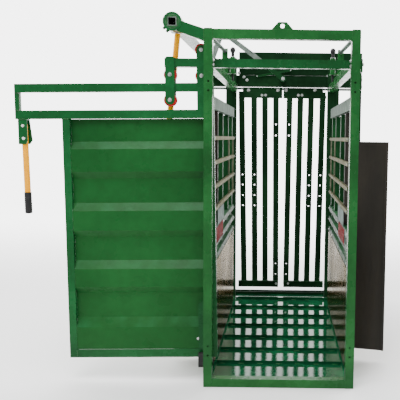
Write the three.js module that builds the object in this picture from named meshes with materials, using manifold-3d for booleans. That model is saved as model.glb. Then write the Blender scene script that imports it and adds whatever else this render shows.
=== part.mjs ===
// Cattle squeeze chute with a side-sliding rear door, a bi-parting head gate
// and hinged squeeze sides. Millimetres, +Z up, X across the chute, Y along it
// (the rear door end is at -Y, the head gate end is at +Y).
import * as THREE from 'three';
import { mergeVertices } from 'three/addons/utils/BufferGeometryUtils.js';
import Module from 'manifold-3d';

const wasm = await Module();
wasm.setup();

// ---------------------------------------------------------------- dimensions
const CHUTE_OUT = 448;        // half width over the rear posts
const POST_W = 50;            // rear post width
const REAR_Y = -1200;         // rear face of the rear portal
const POST_D = 70;            // rear post depth
const REAR_H = 2100;          // rear portal height
const TOPBAR_H = 55;
const SILL_H = 50;
const GAP = 0.4;              // clearance between pieces that are bolted together
const BEAM_Z0 = 1890, BEAM_Z1 = 1940;     // door carrying beam
const BEAM_Y0 = -1123, BEAM_Y1 = -1073;
const BEAM_X0 = -685, BEAM_X1 = 462;
const DOOR_TILT = 1.0 * Math.PI / 180;    // sag of the open door
const DOOR_X = -480, DOOR_Z = 1800;       // reference point on the hanger rail's top edge
const DOOR_Y0 = -1120, DOOR_Y1 = -1082;   // door frame thickness
const RAIL = 50;                          // door frame tube height
const ROLLER_R = 38;
const SHAFT_X = -628, SHAFT_Z = 2138.5;   // head gate control shaft
const SHAFT_A = 50;                       // square shaft size
const HUB_R = 54, BUSH_R = 40;
const FAR_Y0 = 900, FAR_Y1 = 980;         // head end posts
const HEAD_Y0 = 1010, HEAD_Y1 = 1090;     // head gate frame
const HEAD_OUT = 705, HEAD_H = 2245;
const HEAD_IN = 395;                      // left end of the head gate's top beam
const GATE_Y = 1050;                      // head gate plane
// bar centres at the top and at the foot, left and right panel
const GATE_BARS = {
  left: [[62, 48], [162, 145], [260, 240], [373, 340]],
  right: [[62, 48], [160, 144], [256, 239], [361, 336]],
};
const WALL_X = 405;                       // inner face of the squeeze sides
const FLOOR_Z = 50;
const RUNG_Y = [-902, -629, -342, -41, 242, 523, 815];
const ROCK_Z = 2000;                      // head gate rocker pivot height
const MECH_Y = 850;                       // plane of the head gate linkage

// ----------------------------------------------------------------- materials
const M = (c, r, m) => new THREE.MeshStandardMaterial({ color: c, roughness: r, metalness: m });
const green = () => M(0x17612f, 0.35, 0.2);
const greenDark = () => M(0x17442a, 0.4, 0.2);
const floorGreen = () => M(0x2c7f50, 0.2, 0.2);
const zinc = () => M(0x9aa4a0, 0.4, 0.9);
const cream = () => M(0xc9bd92, 0.3, 0.6);
const yellow = () => M(0xe8b80c, 0.4, 0.1);
const red = () => M(0xc41f26, 0.4, 0.0);
const black = () => M(0x2a2a2a, 0.6, 0.0);
const brown = () => M(0x2f261f, 0.7, 0.0);

// ------------------------------------------------------------------- helpers
const group = new THREE.Group();
const clean = (g) => {
  const c = g.clone();
  c.deleteAttribute('normal');
  if (c.getAttribute('uv')) c.deleteAttribute('uv');
  return mergeVertices(c, 1e-4);
};
const solid = (g) => {
  const c = clean(g);
  return new wasm.Manifold(new wasm.Mesh({
    numProp: 3,
    vertProperties: new Float32Array(c.getAttribute('position').array),
    triVerts: new Uint32Array(c.getIndex().array),
  }));
};
const back = (s) => {
  const m = s.getMesh();
  const g = new THREE.BufferGeometry();
  g.setAttribute('position', new THREE.BufferAttribute(new Float32Array(m.vertProperties), 3));
  g.setIndex(new THREE.BufferAttribute(new Uint32Array(m.triVerts), 1));
  return g;
};
const boxG = (x0, x1, y0, y1, z0, z1) => {
  const g = new THREE.BoxGeometry(x1 - x0, y1 - y0, z1 - z0);
  g.translate((x0 + x1) / 2, (y0 + y1) / 2, (z0 + z1) / 2);
  return g;
};
// round bar or disc between two points
const rodG = (a, b, r, n = 20, r2 = r) => {
  const A = new THREE.Vector3(...a), B = new THREE.Vector3(...b);
  const d = B.clone().sub(A);
  const g = new THREE.CylinderGeometry(r2, r, d.length(), n);
  g.applyQuaternion(new THREE.Quaternion().setFromUnitVectors(new THREE.Vector3(0, 1, 0), d.clone().normalize()));
  const m = A.clone().add(B).multiplyScalar(0.5);
  g.translate(m.x, m.y, m.z);
  return g;
};
// flat plate lying in the XZ plane: points [x, z], thickness from y0 to y1
const plateG = (pts, y0, y1) => {
  const s = new THREE.Shape(pts.map((p) => new THREE.Vector2(p[0], p[1])));
  const g = new THREE.ExtrudeGeometry(s, { depth: y1 - y0, bevelEnabled: false, curveSegments: 12 });
  g.rotateX(Math.PI / 2);      // (x, y, d) -> (x, -d, y)
  g.translate(0, y1, 0);
  return g;
};
// rounded bar (stadium) in the XZ plane between two pins
const barPts = (x0, z0, x1, z1, r, n = 8) => {
  const a = Math.atan2(z1 - z0, x1 - x0), p = [];
  for (let i = 0; i <= n; i++) { const t = a - Math.PI / 2 + Math.PI * i / n; p.push([x1 + r * Math.cos(t), z1 + r * Math.sin(t)]); }
  for (let i = 0; i <= n; i++) { const t = a + Math.PI / 2 + Math.PI * i / n; p.push([x0 + r * Math.cos(t), z0 + r * Math.sin(t)]); }
  return p;
};
const union = (...gs) => gs.map(solid).reduce((a, b) => a.add(b));
const put = (name, g, mat, parent = group) => {
  const mesh = new THREE.Mesh(g, mat);
  mesh.name = name;
  parent.add(mesh);
  return mesh;
};
const box = (name, mat, x0, x1, y0, y1, z0, z1, parent = group) =>
  put(name, boxG(x0, x1, y0, y1, z0, z1), mat, parent);

// --------------------------------------------------------------- rear portal
const yb = REAR_Y + POST_D;
const pin = CHUTE_OUT - POST_W;
const boltHoles = (x) => [1805, 1752, 250, 193].map((z) => rodG([x, REAR_Y - 10, z], [x, REAR_Y + 14, z], 6.5, 10));
{
  const drill = (m, x) => boltHoles(x).reduce((a, h) => a.subtract(solid(h)), m);
  put('rear_post_left', back(drill(solid(boxG(-CHUTE_OUT, -pin, REAR_Y, yb, 0, REAR_H)), -421)), green());
  // the right post carries the door's catch plate
  put('rear_post_right', back(drill(union(
    boxG(pin, CHUTE_OUT, REAR_Y, yb, 0, REAR_H),
    boxG(CHUTE_OUT - 1, CHUTE_OUT + 15, yb - 30, BEAM_Y1, 1768, 1850),
  ), 421)), green());
}
{
  const lug = solid(plateG([[-62, REAR_H - 3], [62, REAR_H - 3], [62, REAR_H + 2], [24, REAR_H + 44], [-24, REAR_H + 44], [-62, REAR_H + 2]], REAR_Y + 20, REAR_Y + 32))
    .subtract(solid(rodG([0, REAR_Y + 10, REAR_H + 22], [0, REAR_Y + 42, REAR_H + 22], 13, 20)));
  put('rear_top_bar', back(solid(boxG(-pin + GAP, pin - GAP, REAR_Y + 2, REAR_Y + 60, REAR_H - TOPBAR_H, REAR_H)).add(lug)), green());
}
box('rear_sill', green(), -pin + GAP, pin - GAP, REAR_Y + 2, REAR_Y + 60, 0, SILL_H);

// ------------------------------------------------------------------ side rails
for (const [s, n] of [[-1, 'left'], [1, 'right']]) {
  const X = (a, b) => (s < 0 ? [-b, -a] : [a, b]);
  box('base_rail_' + n, green(), ...X(418, 447), yb + GAP, FAR_Y0 - GAP, 0, SILL_H);
  // top rail with the squeeze latch's bush and the strut's lug welded on
  const lx = s * 366, ly = -100;
  put('top_rail_' + n, back(union(
    boxG(...X(400, 450), BEAM_Y1 + 7.4, FAR_Y0 - GAP, 1890, 1950),
    boxG(...X(340, 450), ly - 30, ly + 30, 1949, 1958),
    boxG(...X(398, 440), ly - 50, ly - 42, 1949, 2125),
    rodG([lx, ly, 1956], [lx, ly, 2068], 19, 20),
  ).subtract(solid(rodG([lx, ly, 1940], [lx, ly, 2090], 9, 16)))), green());
  put('top_strut_' + n, rodG([s * 418, yb + 1.2, 2064], [s * 418, ly - 51.2, 2104], 13, 16), zinc());
  // head end posts with the pads that carry the head gate frame
  put('head_post_' + n, back(union(
    boxG(...(s < 0 ? X(411, 501) : X(396, 496)), FAR_Y0, FAR_Y1, 0, 2180),
    boxG(...X(425, 475), FAR_Y1 - 2, HEAD_Y0 - GAP, 1966, 2004),
    boxG(...X(425, 475), FAR_Y1 - 2, HEAD_Y0 - GAP, 10, 60),
  )), greenDark());
  box('head_upright_' + n, greenDark(), ...X(645, HEAD_OUT), HEAD_Y0, HEAD_Y1, 0, 2045 - GAP);
}

// ---------------------------------------------------------------------- floor
{
  const parts = [
    boxG(-pin + GAP, pin - GAP, REAR_Y + 60 + GAP, yb + 10, FLOOR_Z - 8, FLOOR_Z),
    boxG(-417, 417, yb + GAP, FAR_Y0 - GAP, FLOOR_Z - 8, FLOOR_Z),
    boxG(-410, 395.6, FAR_Y0 - 2, HEAD_Y0 - GAP, FLOOR_Z - 8, FLOOR_Z),
    ...RUNG_Y.map((y) => boxG(-398, 398, y - 12, y + 12, FLOOR_Z - 2, FLOOR_Z + 20)),
    ...[-700, 0, 600].map((y) => boxG(-417, 417, y - 25, y + 25, 0, FLOOR_Z - 6)),
  ];
  put('floor', back(union(...parts)), floorGreen());
}

// ------------------------------------------------------- fixed door beam, catch
// the rear bracket plate is welded to the beam
const OB_X = -653, OB_ZU = 1845, OB_ZL = 1699;
const obPts = [...barPts(OB_X, OB_ZU, OB_X, OB_ZL, 27.5).slice(0, 9), [OB_X + 27.5, 1940], [OB_X + 19, 1949], [OB_X - 19, 1949], [OB_X - 27.5, 1940]];
put('door_beam', back(union(
  plateG(obPts, BEAM_Y1 - 0.5, BEAM_Y1 + 6.4),
  boxG(BEAM_X0, BEAM_X1, BEAM_Y0, BEAM_Y1, BEAM_Z0, BEAM_Z1),
  boxG(BEAM_X1 - 2, BEAM_X1 + 8, BEAM_Y0 - 2, BEAM_Y1 + 2, 1872, 1948),
)), green());

// fixed bracket at the beam's outer end: two plates that hold two rollers
// above and below the door's hanger rail
const plateF = plateG(obPts, BEAM_Y0 - 6.4, BEAM_Y0 - GAP);
put('roller_bracket_front', plateF, green());

// roller: waisted wheel with an axle bolt along Y
const roller = (name, x, z, y0, y1, parent = group) => {
  const w = (y1 - y0) / 2;
  const p = [[0, -w], [14, -w], [14, -w + 4], [ROLLER_R - 3, -w + 4], [ROLLER_R, -w + 7], [ROLLER_R, w - 7], [ROLLER_R - 3, w - 4], [14, w - 4], [14, w], [0, w]]
    .map((q) => new THREE.Vector2(q[0], q[1]));
  const g = new THREE.LatheGeometry(p, 28);
  g.translate(x, (y0 + y1) / 2, z);
  return put(name, g, red(), parent);
};
roller('outer_roller_upper', OB_X, OB_ZU, BEAM_Y0 + 1, BEAM_Y1 - 1.5);
roller('outer_roller_lower', OB_X, OB_ZL, BEAM_Y0 + 1, BEAM_Y1 - 1.5);

// ----------------------------------------------------------------------- door
const door = new THREE.Group();
door.position.set(DOOR_X, 0, DOOR_Z);
door.rotation.y = -DOOR_TILT;
group.add(door);
const U0 = -1086, UP = -812, U1 = 80;      // ends of the hanger rail, panel's outer edge
const W2 = -155, WB = -1642;               // second rail's top, panel's bottom
put('door_hanger_frame', back(union(
  boxG(U0, U1, DOOR_Y0, DOOR_Y1, -RAIL, 0),
  boxG(U0, U0 + 25, DOOR_Y0, DOOR_Y1, W2 + GAP, -RAIL + 1),
  boxG(U1 - 50, U1, DOOR_Y0, DOOR_Y1, W2 + GAP, -RAIL + 1),
)), green(), door);
box('door_second_rail', green(), U0, U1, DOOR_Y0, DOOR_Y1, W2 - RAIL, W2, door);
put('door_panel_frame', back(union(
  boxG(UP, UP + 44, DOOR_Y0, DOOR_Y1, WB, W2 - RAIL - GAP),
  boxG(U1 - 50, U1, DOOR_Y0, DOOR_Y1, WB, W2 - RAIL - GAP),
  boxG(UP, U1, DOOR_Y0, DOOR_Y1, WB, WB + RAIL),
)), green(), door);
{
  // ribbed sheet: [w of recess bottom, w of rib top, w of rib bottom, w of the recess below]
  const ribs = [[-339, -383, -517, -558], [-704, -750, -868, -908], [-1051, -1100, -1210, -1250]];
  const yr = DOOR_Y1 - 6, yf = DOOR_Y0 + 2, t = 3;
  const front = [[yr, W2 - RAIL - 1]];
  for (const [a, b, c, d] of ribs) front.push([yr, a], [yf, b], [yf, c], [yr, d]);
  front.push([yr, -1399], [yf, -1456], [yf, WB + RAIL + 1]);
  const rear = front.map((p) => [p[0] + t, p[1]]).reverse();
  // shift the rear of the slopes so the sheet keeps its thickness
  const s = new THREE.Shape([...front, ...rear].map((p) => new THREE.Vector2(p[0], p[1])));
  const g = new THREE.ExtrudeGeometry(s, { depth: (U1 - 50) - (UP + 44) - 2 * GAP, bevelEnabled: false });
  // (y, w, d) -> (d, y, w)
  g.applyMatrix4(new THREE.Matrix4().set(0, 0, 1, UP + 44 + GAP, 1, 0, 0, 0, 0, 1, 0, 0, 0, 0, 0, 1));
  put('door_sheet', g, green(), door);
}
// hanger plate on the door's inner end: it carries two rollers that run on the beam
const IB_U = 12;
put('door_hanger_plate', back(union(
  plateG([...barPts(IB_U, 0, IB_U, 188, 27.5).slice(0, 9), [IB_U - 27.5, W2 - RAIL], [IB_U + 27.5, W2 - RAIL]], BEAM_Y0 - 6.2, BEAM_Y0 - 0.8),
  boxG(IB_U - 27, IB_U + 27, BEAM_Y0 - 3, DOOR_Y0 - GAP, -44, -6),
  boxG(IB_U - 27, IB_U + 27, BEAM_Y0 - 3, DOOR_Y0 - GAP, W2 - 44, W2 - 6),
)), green(), door);
roller('inner_roller_upper', IB_U, 189, BEAM_Y0 + 3, BEAM_Y1 - 3, door);
roller('inner_roller_lower', IB_U, 40.5, BEAM_Y0 + 3, BEAM_Y1 - 3, door);
// corner plate at the foot of the inner stile, in front of the frame
put('door_foot_plate', plateG([[-30, WB + 60], [47, WB + 2], [55, WB + 2], [55, WB + 372], [25, WB + 372], [-30, WB + 330]], BEAM_Y0 - 4, DOOR_Y0 - GAP), green(), door);
// handle bracket: two cheeks under the outer end of the second rail
put('handle_bracket', back(union(
  plateG([[-1070, -206], [-1017, -206], [-1017, -330], [-1027, -352], [-1070, -352]], DOOR_Y0 - 4, DOOR_Y0 + 1),
  plateG([[-1070, -206], [-1017, -206], [-1003, -330], [-1019, -352], [-1057, -352]], DOOR_Y1 - 1, DOOR_Y1 + 4),
  boxG(-1070, -1017, DOOR_Y0 - 4, DOOR_Y1 + 4, W2 - RAIL - 7, W2 - RAIL - GAP),
)), green(), door);
put('handle_lever', rodG([-1041, -1101, -234], [-1036.5, -1101, -637], 18, 20), yellow(), door);
put('handle_grip', rodG([-1036.5, -1101, -637.6], [-1035, -1101, -765], 22.5, 20), black(), door);

// guide block that keeps the door's foot in line
put('door_foot_guide', back(union(
  boxG(-482, -449, yb - 30, -1060, 108, 144),
  boxG(-482, -449, yb - 30, yb - 1, 108, 192),
  boxG(-482, -400, yb + GAP, -1060, 108, 120),
  boxG(-482, -400, -1070, -1060, 108, 190),
)), black());

// ------------------------------------------------ head gate control shaft, lever
const LEV_Y = -995;
const arm = (name, y0, y1, xr, mat) => {
  const body = solid(plateG([[xr, SHAFT_Z - 107], [xr, SHAFT_Z - 37], [SHAFT_X + 26, SHAFT_Z + 12], [SHAFT_X + 26, SHAFT_Z - 54]], y0, y1))
    .add(solid(rodG([SHAFT_X, y0 - 4, SHAFT_Z], [SHAFT_X, y1 + 4, SHAFT_Z], HUB_R, 32)))
    .subtract(solid(rodG([SHAFT_X, y0 - 20, SHAFT_Z], [SHAFT_X, y1 + 20, SHAFT_Z], BUSH_R + 0.5, 32)));
  put(name, back(body), mat);
};
arm('shaft_arm_rear', REAR_Y + 8, REAR_Y + 58, -CHUTE_OUT - GAP, green());
arm('shaft_arm_head', FAR_Y0 + 5, FAR_Y0 + 55, -501 - GAP, greenDark());
{
  const sh = (y0, y1) => boxG(SHAFT_X - SHAFT_A / 2, SHAFT_X + SHAFT_A / 2, y0, y1, SHAFT_Z - SHAFT_A / 2, SHAFT_Z + SHAFT_A / 2);
  const h = SHAFT_A / 2 - 4;
  const y0 = REAR_Y + 2, y1 = FAR_Y0 + 72;
  // square tube with its two round bushes and the lever's clamp collar
  put('control_shaft', back(union(
    sh(y0, y1),
    rodG([SHAFT_X, REAR_Y + 5, SHAFT_Z], [SHAFT_X, REAR_Y + 61, SHAFT_Z], BUSH_R, 32),
    rodG([SHAFT_X, FAR_Y0 + 2, SHAFT_Z], [SHAFT_X, FAR_Y0 + 58, SHAFT_Z], BUSH_R, 32),
    boxG(SHAFT_X - 36, SHAFT_X + 36, LEV_Y - 25, LEV_Y + 25, SHAFT_Z - 36, SHAFT_Z + 36),
  ).subtract(solid(boxG(SHAFT_X - h, SHAFT_X + h, y0 - 5, y1 + 5, SHAFT_Z - h, SHAFT_Z + h)))), zinc());
}
// lever and grip
const levDir = [-0.0975, -0.9952];
const lev = (d) => [SHAFT_X + 4 + levDir[0] * d, LEV_Y, SHAFT_Z + levDir[1] * d];
put('control_lever', rodG(lev(40), lev(960), 17.5, 20), yellow());
put('control_grip', rodG(lev(960.6), lev(1090), 20, 20), black());
// crank at the head end
const TIP = [-535, 2398];
put('shaft_crank', back(union(
  plateG(barPts(SHAFT_X, SHAFT_Z, TIP[0], TIP[1], 24), MECH_Y, MECH_Y + 10),
  rodG([SHAFT_X, MECH_Y - 10, SHAFT_Z], [SHAFT_X, MECH_Y + 30, SHAFT_Z], 42, 24),
).subtract(solid(boxG(SHAFT_X - 25 - GAP, SHAFT_X + 25 + GAP, MECH_Y - 30, MECH_Y + 60, SHAFT_Z - 25 - GAP, SHAFT_Z + 25 + GAP)))), zinc());
const PINL = [-130, 2102];
put('gate_link', plateG(barPts(TIP[0], TIP[1], PINL[0], PINL[1], 20), MECH_Y - 9, MECH_Y - 1), zinc());
// rocker in front of the track beam
put('gate_rocker', back(union(
  plateG(barPts(PINL[0], PINL[1], 0, ROCK_Z, 20), MECH_Y + 1, MECH_Y + 9),
  rodG([0, MECH_Y - 2, ROCK_Z], [0, MECH_Y + 22, ROCK_Z], 26, 20),
)), green());

// -------------------------------------------------------------- head gate frame
put('head_top_beam', back(union(
  boxG(-HEAD_IN, HEAD_OUT, HEAD_Y0, HEAD_Y0 + 6, 2045, HEAD_H),
  boxG(-HEAD_IN, HEAD_OUT, HEAD_Y0, HEAD_Y1, HEAD_H - 6, HEAD_H),
  boxG(-HEAD_IN, HEAD_OUT, HEAD_Y0, HEAD_Y1, 2045, 2051),
  boxG(-HEAD_IN, -HEAD_IN + 60, HEAD_Y0, HEAD_Y1, 2040 + GAP, 2046),
)), greenDark());
put('head_track_beam', back(union(
  boxG(-645 + GAP, 645 - GAP, HEAD_Y0, HEAD_Y1, 1942, 2040),
  boxG(-18, 18, MECH_Y + 23, HEAD_Y0 + 5, ROCK_Z - 18, ROCK_Z + 18),
)), greenDark());
put('gate_slide_rod', rodG([-645 + GAP, GATE_Y, 1925], [645 - GAP, GATE_Y, 1925], 10, 16), zinc());
put('head_bottom_guide', back(union(
  boxG(-645 + GAP, 645 - GAP, HEAD_Y0, HEAD_Y1, 0, 50),
  boxG(-645 + GAP, 645 - GAP, HEAD_Y0, HEAD_Y0 + 6, 48, 72),
  boxG(-645 + GAP, 645 - GAP, HEAD_Y1 - 6, HEAD_Y1, 48, 72),
)), greenDark());

// head gate panels: four upright bars that lean together towards the floor
for (const [s, n] of [[-1, 'left'], [1, 'right']]) {
  const q = (pts) => pts.map((p) => [s * p[0], p[1]]);
  const fix = (pts) => (s < 0 ? q(pts).reverse() : q(pts));
  const bars = [];
  for (let i = 0; i < 4; i++) {
    const [xt, xb] = GATE_BARS[n][i];
    bars.push(plateG(fix([[xb - 25.5, 140], [xb + 25.5, 140], [xt + 26, 1900], [xt - 26, 1900]]), GATE_Y - 16, GATE_Y + 16));
  }
  const head = plateG(fix([[5, 1843], [392, 1843], [392, 1868], [362, 1890], [362, 1936], [5, 1936]]), GATE_Y - 21, GATE_Y + 21);
  const foot = plateG(fix([[24, 112], [392, 112], [392, 168], [24, 168]]), GATE_Y - 18, GATE_Y + 18);
  const m = union(head, foot, ...bars)
    .subtract(solid(rodG([s * -20, GATE_Y, 1925], [s * 420, GATE_Y, 1925], 10.6, 16)));
  const holes = [[0, 1607], [0, 1508], [0, 330], [0, 232], ...[1150, 1057, 961, 868].flatMap((z) => [[2, z], [3, z]])];
  const drilled = holes.reduce((a, [i, z]) => {
    const [xt, xb] = GATE_BARS[n][i];
    const x = s * (xb + (xt - xb) * (z - 140) / 1760);
    return a.subtract(solid(rodG([x, GATE_Y - 30, z], [x, GATE_Y + 30, z], 7, 10)));
  }, m);
  put('head_gate_' + n, back(drilled), greenDark());
}
// tie bar from the left panel up towards the rocker
put('gate_tie_bar', back(union(
  plateG(barPts(-232, 2032, 66, 2086, 9), FAR_Y1 + 6, FAR_Y1 + 14),
)), green());

// --------------------------------------------------------------- squeeze sides
const SY0 = -1050, SY1 = 600;
for (const [s, n] of [[-1, 'left'], [1, 'right']]) {
  const B = (a, b, y0, y1, z0, z1) => (s < 0 ? boxG(-b, -a, y0, y1, z0, z1) : boxG(a, b, y0, y1, z0, z1));
  // lower sheet with its folded top edge
  put('side_sheet_' + n, back(union(
    B(WALL_X, WALL_X + 4, SY0, SY1, 78, 700),
    B(WALL_X, WALL_X + 22, SY0, SY1, 690, 700),
  )), cream());
  // outer frame: foot rail, three middle rails, four uprights and the wing's hinge post
  put('side_frame_' + n, back(union(
    B(WALL_X + 5, WALL_X + 45, SY0, SY1, 78, 118),
    B(WALL_X + 2, WALL_X + 42, SY0, SY1, 702, 742),
    B(WALL_X + 2, WALL_X + 42, SY0, SY1, 790, 830),
    B(WALL_X + 2, WALL_X + 42, SY0, SY1, 880, 920),
    ...[[SY0, 50], [-300, 50], [150, 50], [SY1 - 60, 60]].map(([y, w]) =>
      B(WALL_X + 23, WALL_X + 60, y, y + w, 80, 1655 - GAP)),
    ...[[SY0, 50], [-300, 50], [150, 50], [SY1 - 60, 60]].map(([y, w]) =>
      B(WALL_X + 14, WALL_X + 60, y, y + w, 918, 1655 - GAP)),
  )), green());
  box('side_top_rail_' + n, zinc(), ...(s < 0 ? [-(WALL_X + 40), -(WALL_X)] : [WALL_X, WALL_X + 40]), SY0, SY1, 1655, 1730);
  // access bars in front of the uprights
  put('side_bars_' + n, back(union(
    ...[1040, 1180, 1330, 1480].map((z) => B(WALL_X - 4, WALL_X + 12.5, SY0 + 20, SY1 - 20, z - 12, z + 12)),
    ...[SY0 + 20, 162, SY1 - 44].map((y) => B(WALL_X + 4, WALL_X + 12.5, y, y + 24, 1029, 1491)),
  )), cream());
  // dark wing post, and the wing panel hinged on it
  box('wing_post_' + n, brown(), ...(s < 0 ? [-(WALL_X + 60), -(WALL_X + 14)] : [WALL_X + 14, WALL_X + 60]), -660, -610, 920 + GAP, 1655 - GAP);
  const wing = new THREE.Group();
  wing.position.set(s * 474, -634, 0);
  wing.rotation.z = s * -0.244;
  group.add(wing);
  put('wing_panel_' + n, back(union(
    boxG(s < 0 ? -232 : 8, s < 0 ? -8 : 232, -5, 5, 74, 1467),
    boxG(s < 0 ? -232 : 216, s < 0 ? -216 : 232, -14, 5, 74, 1467),
    rodG([0, 0, 74], [0, 0, 1460], 8.5, 12),
    boxG(s < 0 ? -12 : 0, s < 0 ? 0 : 12, -5, 5, 74, 1467),
  )), brown(), wing);
}

// ---------------------------------------------- squeeze latch knobs on the top rails
for (const [s, n] of [[-1, 'left'], [1, 'right']]) {
  const x = s * 366, y = -100;
  const p = [[0, 1900], [8, 1900], [8, 2074], [11, 2076], [11, 2100], [17, 2106], [20, 2118], [17, 2132], [9, 2140], [0, 2142]].map((q) => new THREE.Vector2(q[0], q[1]));
  const g = new THREE.LatheGeometry(p, 20);
  g.rotateX(Math.PI / 2);
  g.translate(x, y, 0);
  put('latch_knob_' + n, g, black());
}

export default group;
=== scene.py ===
import bpy, math, random
from mathutils import Vector, Matrix


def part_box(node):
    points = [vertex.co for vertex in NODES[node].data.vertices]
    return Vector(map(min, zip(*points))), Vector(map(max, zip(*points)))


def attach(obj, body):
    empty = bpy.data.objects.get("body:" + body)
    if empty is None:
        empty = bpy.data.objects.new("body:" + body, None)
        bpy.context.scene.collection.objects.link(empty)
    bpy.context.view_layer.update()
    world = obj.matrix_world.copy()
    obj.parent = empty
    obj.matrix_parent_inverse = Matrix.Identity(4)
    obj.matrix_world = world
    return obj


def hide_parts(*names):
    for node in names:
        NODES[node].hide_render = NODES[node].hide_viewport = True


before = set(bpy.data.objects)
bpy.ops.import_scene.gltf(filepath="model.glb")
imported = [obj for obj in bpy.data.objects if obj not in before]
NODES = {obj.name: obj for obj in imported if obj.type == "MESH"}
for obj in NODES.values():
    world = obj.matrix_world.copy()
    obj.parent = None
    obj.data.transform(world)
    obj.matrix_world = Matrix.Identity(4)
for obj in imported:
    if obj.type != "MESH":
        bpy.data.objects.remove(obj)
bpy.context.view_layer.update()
rnd = random.Random(7)
WORLD_LO, WORLD_HI = 0.85, 5.5   # room behind the viewer, bright wall behind the head gate

# ------------------------------------------------------------------ materials


def srgb(r, g, b):
    f = lambda v: (v / 255.0) / 12.92 if v / 255.0 <= 0.04045 else ((v / 255.0 + 0.055) / 1.055) ** 2.4
    return (f(r), f(g), f(b), 1.0)


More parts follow.
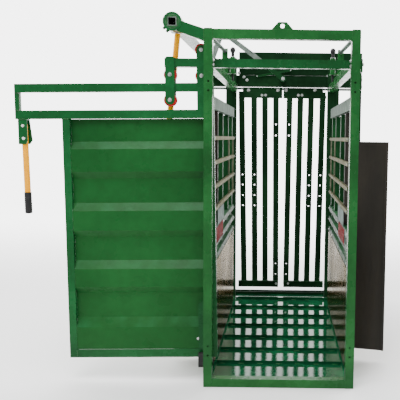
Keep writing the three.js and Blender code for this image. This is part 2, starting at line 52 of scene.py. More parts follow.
def material(name, base, dark, light, rough=(0.25, 0.45), metal=0.0, bump=0.15, bump_scale=220.0,
             coat=0.0, edge=None, edge_amount=0.3, scale=3.0, stretch=(1, 1, 1), wave=None, spec=0.5,
             dust_and_top_light=None, aniso=0.0, edge_radius=0.0022, speck=0.0, tint=None):
    """Painted, plated or moulded surface: two scales of colour noise, roughness noise,
    fine bump, edges found with a bevelled normal and tinted partly as rubbed wear and partly as painted highlight, and
    a paler tone on faces that look up, partly a dusty film and partly painted light from above."""
    m = bpy.data.materials.new(name)
    m.use_nodes = True
    nt = m.node_tree
    N, L = nt.nodes, nt.links
    N.clear()
    out = N.new("ShaderNodeOutputMaterial")
    p = N.new("ShaderNodeBsdfPrincipled")
    L.new(p.outputs[0], out.inputs[0])
    p.inputs["Metallic"].default_value = metal
    p.inputs["Specular IOR Level"].default_value = spec
    if tint:
        p.inputs["Specular Tint"].default_value = tint
    if coat:
        p.inputs["Coat Weight"].default_value = coat
        p.inputs["Coat Roughness"].default_value = 0.08
    if aniso:
        p.inputs["Anisotropic"].default_value = aniso
        p.inputs["Anisotropic Rotation"].default_value = 0.25
    tc = N.new("ShaderNodeTexCoord")
    mp = N.new("ShaderNodeMapping")
    mp.inputs["Scale"].default_value = stretch
    L.new(tc.outputs["Object"], mp.inputs["Vector"])

    def noise(sc, detail=4.0, rough_=0.55, vec=mp.outputs[0]):
        n = N.new("ShaderNodeTexNoise")
        n.inputs["Scale"].default_value = sc
        n.inputs["Detail"].default_value = detail
        n.inputs["Roughness"].default_value = rough_
        L.new(vec, n.inputs["Vector"])
        return n.outputs["Fac"]

    def ramp(fac, stops):
        r = N.new("ShaderNodeValToRGB")
        e = r.color_ramp.elements
        e[0].position, e[0].color = stops[0]
        e[1].position, e[1].color = stops[-1]
        for pos, col in stops[1:-1]:
            x = e.new(pos)
            x.color = col
        L.new(fac, r.inputs[0])
        return r.outputs[0]

    def mix(fac, a, b, mode="MIX", amount=None):
        x = N.new("ShaderNodeMix")
        x.data_type = "RGBA"
        x.blend_type = mode
        if amount is None:
            L.new(fac, x.inputs[0])
        else:
            x.inputs[0].default_value = amount
        for sock, v in ((6, a), (7, b)):
            if isinstance(v, tuple):
                x.inputs[sock].default_value = v
            else:
                L.new(v, x.inputs[sock])
        return x.outputs[2]

    def math_(op, a, b):
        x = N.new("ShaderNodeMath")
        x.operation = op
        for i, v in enumerate((a, b)):
            if isinstance(v, (int, float)):
                x.inputs[i].default_value = v
            else:
                L.new(v, x.inputs[i])
        x.use_clamp = True
        return x.outputs[0]

    col = ramp(noise(scale, 5.0), [(0.3, dark), (0.52, base), (0.75, light)])
    fine = ramp(noise(scale * 14.0, 3.0), [(0.35, (0.86, 0.86, 0.86, 1)), (0.65, (1.08, 1.08, 1.08, 1))])
    col = mix(None, col, fine, "MULTIPLY", 0.6)
    if wave:
        wv = N.new("ShaderNodeTexNoise")
        wv.inputs["Scale"].default_value = wave
        wv.inputs["Detail"].default_value = 6.0
        m2 = N.new("ShaderNodeMapping")
        m2.inputs["Scale"].default_value = (1.0, 1.0, 0.02)
        L.new(tc.outputs["Object"], m2.inputs["Vector"])
        L.new(m2.outputs[0], wv.inputs["Vector"])
        streak = ramp(wv.outputs["Fac"], [(0.3, (0.62, 0.62, 0.62, 1)), (0.7, (1.25, 1.25, 1.25, 1))])
        col = mix(None, col, streak, "MULTIPLY", 0.55)
    # edge tint: a lighter colour on sharp edges, partly rubbed paint and partly painted highlight where the edges catch
    # the light
    if edge:
        bv = N.new("ShaderNodeBevel")
        bv.samples = 4
        bv.inputs["Radius"].default_value = edge_radius
        geo = N.new("ShaderNodeNewGeometry")
        dp = N.new("ShaderNodeVectorMath")
        dp.operation = "DOT_PRODUCT"
        L.new(bv.outputs[0], dp.inputs[0])
        L.new(geo.outputs["Normal"], dp.inputs[1])
        sharp = ramp(dp.outputs["Value"], [(0.80, (1, 1, 1, 1)), (0.985, (0, 0, 0, 1))])
        broken = ramp(noise(38.0, 5.0, 0.7), [(0.40, (0, 0, 0, 1)), (0.62, (1, 1, 1, 1))])
        f = math_("MULTIPLY", sharp, broken)
        f = math_("MULTIPLY", f, edge_amount)
        col = mix(f, col, edge)
    if speck:
        sp = ramp(noise(160.0, 2.0), [(0.70, (0, 0, 0, 1)), (0.74, (1, 1, 1, 1))])
        col = mix(math_("MULTIPLY", sp, speck), col, dark)
    # faces that look up take a paler colour: partly a dusty film, partly painted light falling from above onto the rib
    # ledges and tops
    if dust_and_top_light:
        geo2 = N.new("ShaderNodeNewGeometry")
        sx = N.new("ShaderNodeSeparateXYZ")
        L.new(geo2.outputs["Normal"], sx.inputs[0])
        up = math_("MULTIPLY", sx.outputs[2], 0.22)
        dn = ramp(noise(11.0, 5.0), [(0.4, (0, 0, 0, 1)), (0.7, (1, 1, 1, 1))])
        col = mix(math_("MULTIPLY", up, dn), col, dust_and_top_light)
    L.new(col, p.inputs["Base Color"])
    rr = ramp(noise(scale * 4.0, 4.0), [(0.3, (rough[0],) * 3 + (1,)), (0.7, (rough[1],) * 3 + (1,))])
    L.new(rr, p.inputs["Roughness"])
    b = N.new("ShaderNodeBump")
    b.inputs["Strength"].default_value = bump
    b.inputs["Distance"].default_value = 0.0015
    if wave:
        L.new(wv.outputs["Fac"], b.inputs["Height"])
    else:
        L.new(noise(bump_scale, 3.0), b.inputs["Height"])
    b2 = N.new("ShaderNodeBump")
    b2.inputs["Strength"].default_value = 0.0 if wave else 0.035
    b2.inputs["Distance"].default_value = 0.01
    L.new(noise(9.0, 2.0), b2.inputs["Height"])
    L.new(b.outputs[0], b2.inputs["Normal"])
    L.new(b2.outputs[0], p.inputs["Normal"])
    return m


# edge colour: partly rubbed paint, partly painted edge highlight
WORN_AND_EDGE_HIGHLIGHT = srgb(60, 110, 76)
# colour for faces that look up: partly a dusty film, partly painted top light
PALE_DUST_AND_TOP_LIGHT = srgb(70, 110, 84)
MAT = {
    "post": material("green_post", srgb(27, 84, 38), srgb(20, 70, 31), srgb(35, 98, 47), (0.2, 0.34), spec=0.12,
                     edge=WORN_AND_EDGE_HIGHLIGHT, edge_amount=0.3, dust_and_top_light=PALE_DUST_AND_TOP_LIGHT, bump=0.08),
    "door": material("green_door", srgb(20, 80, 39), srgb(15, 67, 31), srgb(28, 94, 49), (0.2, 0.32), spec=0.12,
                     edge=WORN_AND_EDGE_HIGHLIGHT, edge_amount=0.3, dust_and_top_light=PALE_DUST_AND_TOP_LIGHT, bump=0.08),
    # the sheet's colour for up-facing faces is a bright green: mostly painted highlight on the rib ledges
    "sheet": material("green_sheet", srgb(25, 78, 35), srgb(19, 68, 30), srgb(31, 89, 42), (0.24, 0.36), spec=0.07,
                      edge=WORN_AND_EDGE_HIGHLIGHT, edge_amount=0.35, dust_and_top_light=srgb(60, 150, 100), bump=0.06, scale=1.6),
    "side": material("green_side", srgb(20, 62, 32), srgb(12, 46, 22), srgb(30, 82, 42), (0.3, 0.45), spec=0.05,
                     edge=WORN_AND_EDGE_HIGHLIGHT, edge_amount=0.3, dust_and_top_light=PALE_DUST_AND_TOP_LIGHT),
    # painted shade: a darker copy of the chute's green paint, with darker edge and top colours, standing in for the
    # shade on the head frame and head gate deep inside the chute
    "gate": material("green_gate_painted_shade", srgb(17, 44, 24), srgb(10, 30, 15), srgb(26, 62, 34), (0.35, 0.5), spec=0.02,
                     edge=srgb(34, 62, 42), edge_amount=0.2, dust_and_top_light=srgb(40, 66, 48)),
    "floor": material("green_floor", srgb(16, 72, 44), srgb(10, 54, 32), srgb(26, 96, 60), (0.02, 0.07), spec=0.09,
                      edge=WORN_AND_EDGE_HIGHLIGHT, edge_amount=0.3, scale=5.0, bump=0.04),
    "zinc": material("zinc_plate", srgb(112, 124, 116), srgb(80, 92, 86), srgb(150, 160, 152), (0.3, 0.5), metal=0.9, tint=(0.30, 0.34, 0.31, 1),
                     edge=srgb(190, 194, 190), edge_amount=0.2, scale=12.0, speck=0.3),
    "zinc_dark": material("zinc_shaft", srgb(92, 104, 96), srgb(64, 76, 68), srgb(130, 140, 132), (0.3, 0.5), metal=0.8,
                          edge=srgb(200, 205, 200), edge_amount=0.4, scale=12.0),
    "cream": material("side_sheet_metal", srgb(168, 152, 104), srgb(136, 122, 80), srgb(196, 182, 136), (0.12, 0.24), metal=1.0, tint=(0.26, 0.21, 0.11, 1),
                      edge=srgb(190, 180, 140), edge_amount=0.2, wave=26.0, aniso=0.5, bump=0.05, scale=2.5),
    "bar": material("access_bar_metal", srgb(132, 130, 108), srgb(96, 96, 78), srgb(170, 166, 146), (0.25, 0.45), metal=0.9, tint=(0.22, 0.21, 0.15, 1),
                    edge=srgb(190, 188, 170), edge_amount=0.2, scale=10.0),
    "yellow": material("yellow_enamel", srgb(255, 172, 0), srgb(240, 154, 0), srgb(255, 186, 0), (0.3, 0.45), spec=0.08,
                       edge=srgb(120, 110, 70), edge_amount=0.3, scale=8.0, speck=0.25, bump=0.12),
    "red": material("red_roller", srgb(190, 14, 16), srgb(140, 8, 10), srgb(220, 34, 30), (0.3, 0.5), spec=0.4,
                    edge=srgb(225, 120, 110), edge_amount=0.4, scale=24.0, speck=0.2),
    "black": material("black_rubber", srgb(24, 24, 25), srgb(12, 12, 13), srgb(44, 44, 44), (0.5, 0.75), spec=0.35,
                      edge=srgb(86, 86, 86), edge_amount=0.3, scale=40.0, bump=0.4, bump_scale=600.0),
    "brown": material("wing_board", srgb(36, 32, 25), srgb(26, 22, 17), srgb(50, 44, 36), (0.45, 0.7), spec=0.3,
                      edge=srgb(90, 82, 76), edge_amount=0.3, scale=6.0, stretch=(1, 1, 0.15), bump=0.35, bump_scale=90.0),
    "bolt": material("zinc_bolt", srgb(180, 184, 182), srgb(130, 134, 132), srgb(222, 224, 222), (0.25, 0.45), metal=0.8,
                     edge=srgb(238, 238, 236), edge_amount=0.4, scale=60.0, edge_radius=0.0008),
    "bolt_white": material("pale_bolt", srgb(232, 236, 230), srgb(190, 194, 188), srgb(246, 248, 244), (0.3, 0.5), metal=0.2,
                           edge=srgb(250, 250, 248), edge_amount=0.4, scale=60.0, edge_radius=0.0008),
    "bolt_green": material("painted_bolt", srgb(6, 72, 26), srgb(2, 52, 16), srgb(20, 96, 42), (0.25, 0.42), spec=0.4,
                           edge=srgb(120, 140, 120), edge_amount=0.6, scale=50.0, edge_radius=0.0008),
    "weld": material("weld_bead", srgb(5, 78, 28), srgb(2, 58, 18), srgb(20, 104, 46), (0.2, 0.4), spec=0.4,
                     edge=WORN_AND_EDGE_HIGHLIGHT, edge_amount=0.3, scale=90.0, bump=0.5, bump_scale=500.0),
    "marker": material("red_marker", srgb(132, 2, 4), srgb(104, 1, 3), srgb(156, 8, 8), (0.5, 0.7), spec=0.01,
                       edge=srgb(150, 60, 50), edge_amount=0.2, scale=20.0),
    "label": material("pale_plate", srgb(128, 142, 138), srgb(104, 118, 114), srgb(150, 164, 158), (0.5, 0.7), spec=0.01,
                      edge=srgb(170, 175, 165), edge_amount=0.4, scale=20.0),
}

LOOK = {}
for names, key in (
    ("rear_post_left rear_post_right rear_top_bar rear_sill base_rail_left base_rail_right top_rail_left top_rail_right", "post"),
    ("door_beam roller_bracket_front door_hanger_frame door_second_rail door_panel_frame door_hanger_plate door_foot_plate handle_bracket shaft_arm_rear", "door"),
    ("door_sheet", "sheet"),
    ("side_frame_left side_frame_right gate_tie_bar gate_rocker", "side"),
    ("head_post_left head_post_right head_upright_left head_upright_right shaft_arm_head head_top_beam head_track_beam head_bottom_guide head_gate_left head_gate_right", "gate"),
    ("floor", "floor"),
    ("shaft_crank gate_link gate_slide_rod side_top_rail_left side_top_rail_right top_strut_left top_strut_right", "zinc"),
    ("control_shaft", "zinc_dark"),
    ("side_sheet_left side_sheet_right", "cream"),
    ("side_bars_left side_bars_right", "bar"),
    ("handle_lever control_lever", "yellow"),
    ("outer_roller_upper outer_roller_lower inner_roller_upper inner_roller_lower", "red"),
    ("handle_grip control_grip latch_knob_left latch_knob_right door_foot_guide", "black"),
    ("wing_panel_left wing_panel_right wing_post_left wing_post_right", "brown"),
):
    for n in names.split():
        LOOK[n] = key
for n, o in NODES.items():
    o.data.materials.clear()
    o.data.materials.append(MAT[LOOK[n]])

# rounded edges on the welded tubes and plates
SMOOTH = {"outer_roller_upper", "outer_roller_lower", "inner_roller_upper", "inner_roller_lower", "handle_lever",
          "control_lever", "handle_grip", "control_grip", "latch_knob_left", "latch_knob_right", "gate_slide_rod",
          "top_strut_left", "top_strut_right"}
for n, o in NODES.items():
    if n in ("door_sheet", "side_sheet_left", "side_sheet_right", "side_bars_left", "side_bars_right"):
        w = 0.0009
    elif n.startswith(("rear_", "base_", "top_rail", "door_", "head_", "control_shaft", "side_frame", "side_top")):
        w = 0.0028
    else:
        w = 0.0012
    if n.startswith(("head_gate", "side_frame")):
        w = 0.0008
    if n in SMOOTH:
        w = 0.0015
    b = o.modifiers.new("bevel", "BEVEL")
    b.width = w
    b.segments = 2
    b.limit_method = "ANGLE"
    b.angle_limit = math.radians(35)
    b.use_clamp_overlap = True
    b.harden_normals = False

# -------------------------------------------------------------------- helpers


def mesh(name, verts, faces, mat, body, smooth=False):
    me = bpy.data.meshes.new(name)
    me.from_pydata([tuple(v) for v in verts], [], faces)
    me.validate()
    me.update()
    if smooth:
        for f in me.polygons:
            f.use_smooth = True
    me.materials.append(MAT[mat])
    o = bpy.data.objects.new(name, me)
    bpy.context.scene.collection.objects.link(o)
    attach(o, body)
    return o


class Kit:
    """Collects closed shells of many small pieces of one kind on one body into one mesh."""

    def __init__(self, name, mat, body, slot):
        self.a = (name, mat, body, slot)
        self.v, self.f = [], []

    def add(self, verts, faces):
        k = len(self.v)
        self.v += [Vector(v) for v in verts]
        self.f += [[i + k for i in f] for f in faces]

    def lathe(self, c, axis, prof, seg=20, turn=0.0):
        """prof: (distance along axis, radius) from first to last, ends closed."""
        ax = Vector(axis).normalized()
        u = ax.orthogonal().normalized()
        w = ax.cross(u)
        c = Vector(c)
        vs, fs = [], []
        n = len(prof)
        for d, r in prof:
            for i in range(seg):
                t = 2 * math.pi * i / seg + turn
                vs.append(c + ax * d + (u * math.cos(t) + w * math.sin(t)) * r)
        for j in range(n - 1):
            for i in range(seg):
                a, b = j * seg + i, j * seg + (i + 1) % seg
                fs.append([a, b, b + seg, a + seg])
        fs.append(list(range(seg))[::-1])
        fs.append([(n - 1) * seg + i for i in range(seg)])
        self.add(vs, fs)

    def bolt(self, c, axis, r=0.009, h=None, washer=True, hexa=True):
        """hexagon head with a chamfer on a round washer; c is on the face, axis points out of it"""
        h = h or r * 0.72
        t = rnd.uniform(0, 1.0)
        z = 0.0003
        if washer:
            self.lathe(c, axis, [(z, r * 1.42), (z + 0.0013, r * 1.45), (z + 0.0018, r * 1.38)], 24)
            z += 0.0015
        self.lathe(c, axis, [(z, r * 0.96), (z + h * 0.16, r), (z + h * 0.78, r), (z + h, r * 0.80)], 6 if hexa else 18, t)

    def rounded(self, lo, hi, ch=0.002):
        """box with chamfered edges"""
        lo, hi = Vector(lo), Vector(hi)
        vs = []
        c = (lo + hi) / 2
        hx = (hi - lo) / 2
        idx = {}
        for sx in (-1, 1):
            for sy in (-1, 1):
                for sz in (-1, 1):
                    for k in range(3):
                        p = Vector((sx * hx.x, sy * hx.y, sz * hx.z))
                        for q in range(3):
                            if q != k:
                                p[q] -= (sx, sy, sz)[q] * ch
                        idx[(sx, sy, sz, k)] = len(vs)
                        vs.append(c + p)
        fs = []
        for k in range(3):
            o1, o2 = [(1, 2), (2, 0), (0, 1)][k]
            for s in (-1, 1):
                loop = []
                for a, b in ((-1, -1), (1, -1), (1, 1), (-1, 1)):
                    t = [0, 0, 0]
                    t[k], t[o1], t[o2] = s, a, b
                    loop.append(idx[(*t, k)])
                fs.append(loop if s > 0 else loop[::-1])
        for k in range(3):
            o1, o2 = [(1, 2), (2, 0), (0, 1)][k]
            for a in (-1, 1):
                for b in (-1, 1):
                    t0, t1 = [0, 0, 0], [0, 0, 0]
                    t0[k], t1[k] = -1, 1
                    t0[o1] = t1[o1] = a
                    t0[o2] = t1[o2] = b
                    loop = [idx[(*t0, o1)], idx[(*t1, o1)], idx[(*t1, o2)], idx[(*t0, o2)]]
                    fs.append(loop if a * b > 0 else loop[::-1])
        for sx in (-1, 1):
            for sy in (-1, 1):
                for sz in (-1, 1):
                    loop = [idx[(sx, sy, sz, 0)], idx[(sx, sy, sz, 1)], idx[(sx, sy, sz, 2)]]
                    fs.append(loop if sx * sy * sz > 0 else loop[::-1])
        self.add(vs, fs)

    def bead(self, a, b, r=0.0032, seg=8, pitch=0.006):
        """weld bead: a rippled half-round run from a to b"""
        a, b = Vector(a), Vector(b)
        d = (b - a)
        n = max(6, int(d.length / pitch))
        prof = [(0.0, r * 0.35)]
        for i in range(1, n):
            prof.append((d.length * i / n, r * (0.82 + 0.22 * (i % 2) + rnd.uniform(-0.06, 0.06))))
        prof.append((d.length, r * 0.35))
        self.lathe(a, d, prof, seg)

    def done(self, smooth=False):
        name, mat, body, slot = self.a
        return mesh(name, self.v, self.f, mat, body, smooth)


DT = math.radians(1.0)


def D(u, y, w):
    """a point of the sagging door: u along its rail, w up from the rail's top edge (metres)"""
    return Vector((-0.480 + u * math.cos(DT) - w * math.sin(DT), y, 1.800 + u * math.sin(DT) + w * math.cos(DT)))


DU = Vector((math.cos(DT), 0, math.sin(DT)))
DW = Vector((-math.sin(DT), 0, math.cos(DT)))
FRONT = (0, -1, 0)

# --------------------------------------------------------------------- camera
cam_d = bpy.data.cameras.new("camera")
cam_d.sensor_width = 36.0
cam_d.lens = 673.0 / 400.0 * 36.0
cam_d.shift_x = (200.0 - 283.7) / 400.0
cam_d.clip_end = 100.0
cam = bpy.data.objects.new("camera", cam_d)
bpy.context.scene.collection.objects.link(cam)
CAM = Vector((0.019, -5.095, 1.485))
cam.location = CAM
CAM_R = Matrix.Rotation(math.radians(90 - 5.26), 4, 'X') @ Matrix.Rotation(math.radians(0.7), 4, 'Z')
cam.rotation_euler = CAM_R.to_euler()
bpy.context.scene.camera = cam


def at(px, py, y):
    """the point of the plane y that lies at a place of the 400 x 400 picture"""
    d = CAM_R.to_3x3() @ Vector(((px - 283.7) / 673.0, (200.0 - py) / 673.0, -1.0))
    return CAM + d * ((y - CAM.y) / d.y)


# ------------------------------------------------------------ fasteners, welds
# chassis
k = Kit("chassis_bolts", "bolt", "chassis", "zinc")
for z in (1.845, 1.699):
    k.bolt((-0.653, -1.1294, z), FRONT, 0.0080)
    k.bolt((-0.653, -1.0666, z), (0, 1, 0), 0.0115)
for s in (-1, 1):
    for z in (1.9015, 1.9285):
        k.bolt((s * 0.398, -1.158, z), (-s, 0, 0), 0.0085)
    k.bolt((s * 0.398, -1.165, 0.024), (-s, 0, 0), 0.009)
k.bolt((0.470, -1.098, 1.919), (1, 0, 0), 0.010)
k.bolt((0.463, -1.098, 1.790), (1, 0, 0), 0.009)
k.bolt((0.463, -1.098, 1.828), (1, 0, 0), 0.009)
for px, py in ((239, 73), (244, 77), (247, 80), (337, 72), (331, 73), (328, 76)):
    k.bolt(at(px, py, 1.0098), FRONT, 0.009)
for s in (-1, 1):
    for z in (2.075, 2.12, 2.17, 2.215):
        if s > 0:
            k.bolt((s * 0.675, 1.0098, z), FRONT, 0.010)
    for z in (0.11, 0.6, 1.1, 1.6, 1.95):
        k.bolt((s * 0.675, 1.0098, z), FRONT, 0.009)
    k.bolt((s * (0.440 if s > 0 else 0.455), 0.8998, 2.15), FRONT, 0.009)
    k.bolt((s * 0.424, -0.1422, 2.10), FRONT, 0.006)
k.bolt((0, 0.873, 2.0), FRONT, 0.010, washer=False)
k.done()

k = Kit("hub_set_bolts", "bolt_green", "chassis", "green_paint")
hub = Vector((-0.628, -1.167, 2.1385))
for a in (214, 238):
    d = Vector((math.cos(math.radians(a)), 0, math.sin(math.radians(a))))
    k.bolt(hub + d * 0.0535, d, 0.0085, h=0.012)
k.bolt(hub + Vector((-0.030, -0.029, 0.037)), FRONT, 0.004, washer=False)
hub2 = Vector((-0.628, 0.93, 2.1385))
for a in (214, 238):
    d = Vector((math.cos(math.radians(a)), 0, math.sin(math.radians(a))))
    k.bolt(hub2 + d * 0.0535, d, 0.0085, h=0.012)
k.done()

k = Kit("chassis_welds", "weld", "chassis", "green_paint")
for s in (-1, 1):
    x = s * 0.3985
    k.bead((x, -1.1958, 2.047), (x, -1.1958, 2.098))
    k.bead((x, -1.1958, 0.003), (x, -1.1958, 0.048))
    k.bead((s * 0.4435, -1.1285, 0.052), (s * 0.4185, -1.1285, 0.052))
    k.bead((s * 0.400, 0.8985, 0.052), (s * 0.447, 0.8985, 0.052))
k.bead((-0.395, -1.194, 0.0508), (-0.350, -1.194, 0.0508))
k.bead((0.350, -1.194, 0.0508), (0.395, -1.194, 0.0508))
k.bead((-0.060, -1.1805, 2.1008), (0.060, -1.1805, 2.1008), 0.003)
for z0, z1 in ((2.034, 2.098),):
    k.bead((-0.4490, -1.1925, z0), (-0.4490, -1.1925, z1))
k.bead((-0.679, -1.1243, 1.8890), (-0.627, -1.1243, 1.8890), 0.003)
k.bead((-0.673, -1.1243, 1.9410), (-0.633, -1.1243, 1.9410), 0.003)
k.done(True)

k = Kit("post_caps", "bolt_green", "chassis", "green_paint")
for s in (-1, 1):
    xs = sorted((s * 0.400, s * 0.446))
    k.rounded((xs[0], -1.1975, 2.1003), (xs[1], -1.1325, 2.1045), 0.0014)
k.done()

# floor cross welds between rung and plate
k = Kit("rung_welds", "weld", "chassis", "floor_paint")
for y in (-0.902, -0.629, -0.342, -0.041, 0.242, 0.523, 0.815):
    for x in (-0.36, -0.24, -0.12, 0.0, 0.12, 0.24, 0.36):
        k.bead((x - 0.02, y - 0.0125, 0.0508), (x + 0.02, y - 0.0125, 0.0508), 0.003, 7, 0.008)
k.done(True)

# door
k = Kit("door_bolts", "bolt", "door", "zinc")
for w in (0.189, 0.0405):
    k.bolt(D(0.012, -1.1292, w), FRONT, 0.0080)
k.bolt(at(198.3, 338.6, -1.1242), FRONT, 0.0062)
k.done()
k = Kit("handle_bracket_bolts", "bolt_white", "door", "zinc")
k.bolt(at(22.7, 125.8, -1.1240), FRONT, 0.0064)
k.bolt(at(23.5, 138.4, -1.1240), FRONT, 0.0064)
k.bolt(D(-1.041, -1.0780, -0.234), (0, 1, 0), 0.0090)
k.done()

k = Kit("door_welds", "weld", "door", "green_paint")
yf = -1.1205
k.bead(D(-1.0605, yf, -0.054), D(-1.0605, yf, -0.150))
k.bead(D(-1.084, yf, -0.0535), D(-1.063, yf, -0.0535))
k.bead(D(-1.084, yf, -0.1545), D(-1.063, yf, -0.1545))
k.bead(D(0.0295, yf, -0.054), D(0.0295, yf, -0.150))
k.bead(D(-0.811, yf, -0.2055), D(-0.769, yf, -0.2055))
k.bead(D(0.031, yf, -0.2055), D(0.079, yf, -0.2055))
k.bead(D(-0.7675, yf, -1.638), D(-0.7675, yf, -1.595))
k.bead(D(0.0295, yf, -1.638), D(0.0295, yf, -1.595))
k.bead(D(-1.068, -1.1245, -0.2055), D(-1.019, -1.1245, -0.2055), 0.003)
k.done(True)

# inner rollers, outer rollers: flanged wheels with a groove, hub and bore rim


def roller(name, body, x, z, y0, y1, node):
    w = (y1 - y0) / 2
    c = Vector((x, (y0 + y1) / 2, z))
    R = 0.038
    prof = [(-w + 0.0006, 0.012), (-w + 0.0006, 0.0132), (-w + 0.004, 0.014), (-w + 0.0042, 0.022), (-w + 0.0062, 0.024),
            (-w + 0.0062, 0.030), (-w + 0.0044, 0.0325), (-w + 0.0046, R - 0.0022), (-w + 0.0062, R - 0.0004), (-w + 0.0085, R - 0.0002)]
    mid = [(-w + 0.0105, R - 0.0022), (-w * 0.30, R - 0.0040), (w * 0.30, R - 0.0040), (w - 0.0105, R - 0.0022)]
    back_ = [(-a, b) for a, b in prof[::-1]]
    k = Kit(name, "red", body, "red_plastic")
    k.lathe(c, (0, 1, 0), prof + mid + back_, 40)
    o = k.done(True)
    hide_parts(node)
    return o


lo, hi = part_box("outer_roller_upper")
for nm, body in (("outer_roller_upper", "outer_roller_upper"), ("outer_roller_lower", "outer_roller_lower"),
                 ("inner_roller_upper", "inner_roller_upper"), ("inner_roller_lower", "inner_roller_lower")):
    lo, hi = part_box(nm)
    c = (lo + hi) / 2
    roller(nm + "_wheel", body, c.x, c.z, lo.y, hi.y, nm)


def grip(name, body, node, a, b, r, flange):
    """moulded grip: flange at the lever end, a row of rounded ribs, domed end"""
    a, b = Vector(a), Vector(b)
    d = b - a
    n = d.length
    prof = [(0.0, r * 0.86), (0.0006, flange), (0.0045, flange), (0.006, r * 0.9)]
    t = 0.009
    while t < n - 0.020:
        prof += [(t, r * 0.90), (t + 0.0018, r * 0.985), (t + 0.0052, r * 0.985), (t + 0.007, r * 0.90)]
        t += 0.0092
    prof += [(n - 0.012, r * 0.95), (n - 0.006, r * 0.93), (n - 0.002, r * 0.72), (n - 0.0004, r * 0.3)]
    k = Kit(name, "black", body, "black_rubber")
    k.lathe(a, d, prof, 32)
    o = k.done(True)
    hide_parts(node)


grip("handle_grip_moulded", "door_handle", "handle_grip", D(-1.0365, -1.101, -0.6378), D(-1.0350, -1.101, -0.7648), 0.0222, 0.0224)


def lev(d):
    return Vector((-0.628 + 0.004 - 0.0975 * d, -0.995, 2.1385 - 0.9952 * d))


grip("control_grip_moulded", "control", "control_grip", lev(0.9608), lev(1.0898), 0.0195, 0.0198)

# hub face of the control shaft: disc with the square tube through it
k = Kit("shaft_hub_face", "bolt_green", "control", "green_paint")
vs, fs = [], []
n = 40
h = 0.02515
for y, ro in ((-1.1951, 0.0386), (-1.1962, 0.0392), (-1.1972, 0.0380)):
    for i in range(n):
        t = 2 * math.pi * i / n
        vs.append((-0.628 + ro * math.cos(t), y, 2.1385 + ro * math.sin(t)))
    for i in range(n):
        t = 2 * math.pi * i / n
        s = h / max(abs(math.cos(t)), abs(math.sin(t)))
        vs.append((-0.628 + s * math.cos(t), y, 2.1385 + s * math.sin(t)))
for j in range(2):
    for i in range(n):
        a, b = j * 2 * n + i, j * 2 * n + (i + 1) % n
        fs.append([a, b, b + 2 * n, a + 2 * n])
        fs.append([a + n, a + 3 * n, b + 3 * n, b + n])
for i in range(n):
    b = (i + 1) % n
    fs.append([i, i + n, b + n, b])
    q = 4 * n
    fs.append([q + i, q + b, q + b + n, q + i + n])
k.add(vs, fs)
k.done()

k = Kit("control_bolts", "bolt", "control", "zinc")
for dz in (-0.022, 0.022):
    k.bolt((-0.628 - 0.022, -1.0202, 2.1385 + dz), FRONT, 0.0065)
    k.bolt((-0.628 + 0.022, -1.0202, 2.1385 + dz), FRONT, 0.0065)
k.bolt((-0.535, 0.8600, 2.398), (0, 1, 0), 0.010)
k.bolt((-0.628 + 0.030, 0.8396, 2.1385 + 0.0), FRONT, 0.0045, washer=False)
k.done()
k = Kit("link_bolts", "bolt", "gate_link", "zinc")
k.bolt((-0.535, 0.8408, 2.398), FRONT, 0.0105)
k.done()
k = Kit("rocker_bolts", "bolt", "gate_rocker", "zinc")
k.bolt((-0.130, 0.8594, 2.102), (0, 1, 0), 0.0105)
k.bolt((0.0, 0.8478, 2.0), FRONT, 0.011)
k.done()

# head gate plates: bar centres at the top and at the foot
GATE_BARS = {
    "left": ((0.062, 0.048), (0.162, 0.145), (0.260, 0.240), (0.373, 0.340)),
    "right": ((0.062, 0.048), (0.160, 0.144), (0.256, 0.239), (0.361, 0.336)),
}
for s, n in ((-1, "left"), (1, "right")):
    k = Kit("head_gate_bolts_" + n, "bolt", "head_gate_" + n, "zinc")
    for px in ((248.5, 278.0) if s < 0 else (286.0, 315.0)):
        k.bolt(at(px, 90.2, 1.0288), FRONT, 0.0105)
    for px in ((262.0, 265.6) if s < 0 else (298.3, 301.9)):
        k.bolt(at(px, 95.2, 1.0288), FRONT, 0.0085)
    for px in ((276.0,) if s < 0 else (288.0,)):
        k.bolt(at(px, 283.5, 1.0318), FRONT, 0.0075)
    k.done()
    k = Kit("head_gate_welds_" + n, "weld", "head_gate_" + n, "green_dark")
    for xt, xb in GATE_BARS[n]:
        zt, zb = 1.8425, 0.1685
        ft = xb + (xt - xb) * (zt - 0.14) / 1.76
        fb = xb + (xt - xb) * (zb - 0.14) / 1.76
        k.bead((s * ft - 0.022, 1.0335, zt), (s * ft + 0.022, 1.0335, zt), 0.003)
        k.bead((s * fb - 0.022, 1.0335, zb), (s * fb + 0.022, 1.0335, zb), 0.003)
    k.done(True)
k = Kit("tie_bar_bolts", "bolt", "head_gate_left", "zinc")
k.bolt((-0.232, 0.9858, 2.032), FRONT, 0.006, h=0.0026, washer=False)
k.bolt((0.066, 0.9858, 2.086), FRONT, 0.006, h=0.0026, washer=False)
k.done()

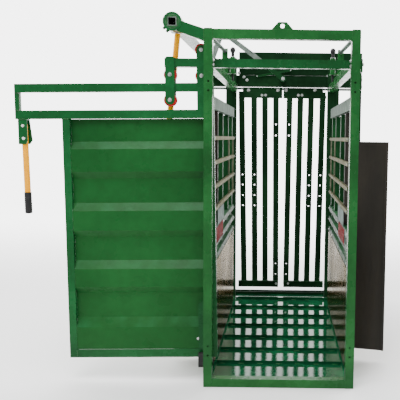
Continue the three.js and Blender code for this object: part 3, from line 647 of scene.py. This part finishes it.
# squeeze sides: bar fixings, marker strip and its plate, hinge knuckles
for s, n in ((-1, "left"), (1, "right")):
    body = "squeeze_" + n
    inw = (-s, 0, 0)
    k = Kit("side_bar_bolts_" + n, "bolt", body, "zinc")
    for z in (1.04, 1.18, 1.33, 1.48):
        for y in (-1.018, 0.174, 0.568):
            k.bolt((s * 0.4008, y, z), inw, 0.0060, washer=False)
    for z in (0.722, 0.81, 0.90):
        for y in (-1.02, -0.40, 0.20, 0.56):
            k.bolt((s * 0.4068, y, z), inw, 0.0070)
    k.done()
    k = Kit("marker_strip_" + n, "marker", body, "red_plastic")
    xs = sorted((s * 0.4069, s * 0.4052))
    for i in range(5):
        y = -0.845 + i * 0.094
        k.rounded((xs[0], y, 0.812), (xs[1], y + 0.058, 0.910), 0.0007)
    k.done()
    k = Kit("marker_base_" + n, "black", body, "black_rubber")
    xs = sorted((s * 0.4070, s * 0.4058))
    k.rounded((xs[0], -0.856, 0.806), (xs[1], -0.396, 0.916), 0.0005)
    k.done()
    k = Kit("marker_plate_" + n, "label", body, "sheet_bright")
    xs = sorted((s * 0.4069, s * 0.4052))
    k.rounded((xs[0], -0.760, 0.9185), (xs[1], -0.330, 1.020), 0.0006)
    k.done()
    # wing hinge: knuckles on the board
    ka = Kit("wing_knuckles_post_" + n, "black", body, "brown_panel")
    kb = Kit("wing_knuckles_board_" + n, "black", "wing_" + n, "brown_panel")
    for z in (0.20, 0.55, 0.90, 1.25):
        kb.lathe((s * 0.474, -0.634, z), (0, 0, 1), [(0, 0.0100), (0.001, 0.0108), (0.058, 0.0108), (0.059, 0.0100)], 20)
    kb.done(True)
    kc = Kit("wing_rivets_" + n, "bolt", "wing_" + n, "zinc")
    a = -0.244 * s
    for z in (0.16, 0.42, 0.68, 0.94, 1.20, 1.40):
        for d_ in (0.030, 0.205):
            # positions on the board's rear face, in the board's own turned frame
            lx, ly = s * d_, -0.0052
            X = s * 0.474 + lx * math.cos(s * -0.244) - ly * math.sin(s * -0.244)
            Y = -0.634 + lx * math.sin(s * -0.244) + ly * math.cos(s * -0.244)
            ax = (math.sin(s * -0.244), -math.cos(s * -0.244), 0)
            if d_ < 0.2:
                kc.bolt((X, Y, z), ax, 0.0048, h=0.0022, washer=False, hexa=False)
    kc.done()
    kw = Kit("side_welds_" + n, "weld", body, "green_paint")
    for y in (-1.05, -0.30, 0.15, 0.54):
        for z in (0.742, 0.790, 0.830, 0.880):
            kw.bead((s * 0.4285, y - 0.0005, z), (s * 0.4460, y - 0.0005, z), 0.0026, 7)
    kw.done(True)
    # latch: spring washer stack under the knob
    kl = Kit("latch_collar_" + n, "bolt", "chassis", "zinc")
    kl.lathe((s * 0.366, -0.100, 2.0683), (0, 0, 1), [(0, 0.0188), (0.0008, 0.0192), (0.0030, 0.0192), (0.0036, 0.0186)], 28)
    kl.done(True)

# ------------------------------------------------------------- floor and light
me = bpy.data.meshes.new("ground")
s_ = 30
me.from_pydata([(-s_, -s_, -0.0005), (s_, -s_, -0.0005), (s_, s_, -0.0005), (-s_, s_, -0.0005)], [], [(0, 1, 2, 3)])
ground = bpy.data.objects.new("ground", me)
bpy.context.scene.collection.objects.link(ground)
gm = bpy.data.materials.new("ground")
gm.use_nodes = True
gn = gm.node_tree.nodes
gp = gn["Principled BSDF"]
# painted shade: base colour pale under and behind the chute, darker towards the viewer
gt = gn.new("ShaderNodeNewGeometry")
gs = gn.new("ShaderNodeSeparateXYZ")
gm.node_tree.links.new(gt.outputs["Position"], gs.inputs[0])
floor_front_shade_range = gn.new("ShaderNodeMapRange")
floor_front_shade_range.interpolation_type = "SMOOTHSTEP"
floor_front_shade_range.inputs[1].default_value = -3.2
floor_front_shade_range.inputs[2].default_value = -1.2
gm.node_tree.links.new(gs.outputs[1], floor_front_shade_range.inputs[0])
floor_front_shade_ramp = gn.new("ShaderNodeValToRGB")
floor_front_shade_ramp.color_ramp.elements[0].color = (0.42, 0.42, 0.42, 1)
floor_front_shade_ramp.color_ramp.elements[1].color = (0.94, 0.94, 0.94, 1)
gm.node_tree.links.new(floor_front_shade_range.outputs[0], floor_front_shade_ramp.inputs[0])
gm.node_tree.links.new(floor_front_shade_ramp.outputs[0], gp.inputs["Base Color"])
gp.inputs["Roughness"].default_value = 0.9
# painted light: the floor glows, its emission rising from nothing at y 0.8 m to strength 3 at y 7 m; it is no lamp
floor_glow_range = gn.new("ShaderNodeMapRange")
floor_glow_range.interpolation_type = "SMOOTHSTEP"
floor_glow_range.inputs[1].default_value = 0.8
floor_glow_range.inputs[2].default_value = 7.0
floor_glow_range.inputs[4].default_value = 3.0
gm.node_tree.links.new(gs.outputs[1], floor_glow_range.inputs[0])
gm.node_tree.links.new(floor_glow_range.outputs[0], gp.inputs["Emission Strength"])
gp.inputs["Emission Color"].default_value = (1, 1, 1, 1)
gp.inputs["Specular IOR Level"].default_value = 0.1
me.materials.append(gm)

w = bpy.data.worlds.new("studio")
w.use_nodes = True
wn, wl = w.node_tree.nodes, w.node_tree.links
wt = wn.new("ShaderNodeTexCoord")
ws = wn.new("ShaderNodeSeparateXYZ")
wl.new(wt.outputs["Generated"], ws.inputs[0])
wr = wn.new("ShaderNodeMapRange")
wr.interpolation_type = "SMOOTHSTEP"
wr.inputs[1].default_value = -0.10
wr.inputs[2].default_value = 0.55
wr.inputs[3].default_value = WORLD_LO
wr.inputs[4].default_value = WORLD_HI
wl.new(ws.outputs[1], wr.inputs[0])
wn["Background"].inputs[0].default_value = (1, 1, 1, 1)
wl.new(wr.outputs[0], wn["Background"].inputs[1])
bpy.context.scene.world = w


def area(name, loc, look, size, power, col=(1, 1, 1)):
    d = bpy.data.lights.new(name, "AREA")
    d.shape = "RECTANGLE"
    d.size, d.size_y = size
    d.energy = power
    d.color = col
    o = bpy.data.objects.new(name, d)
    bpy.context.scene.collection.objects.link(o)
    o.location = loc
    o.rotation_euler = (Vector(look) - Vector(loc)).to_track_quat("-Z", "Y").to_euler()
    return o


area("key", (-1.3, -3.4, 5.4), (-0.4, -0.9, 0.9), (2.6, 3.8), 310)
area("top", (0.2, 0.2, 5.2), (0.0, 0.2, 0.0), (3.5, 3.5), 60)
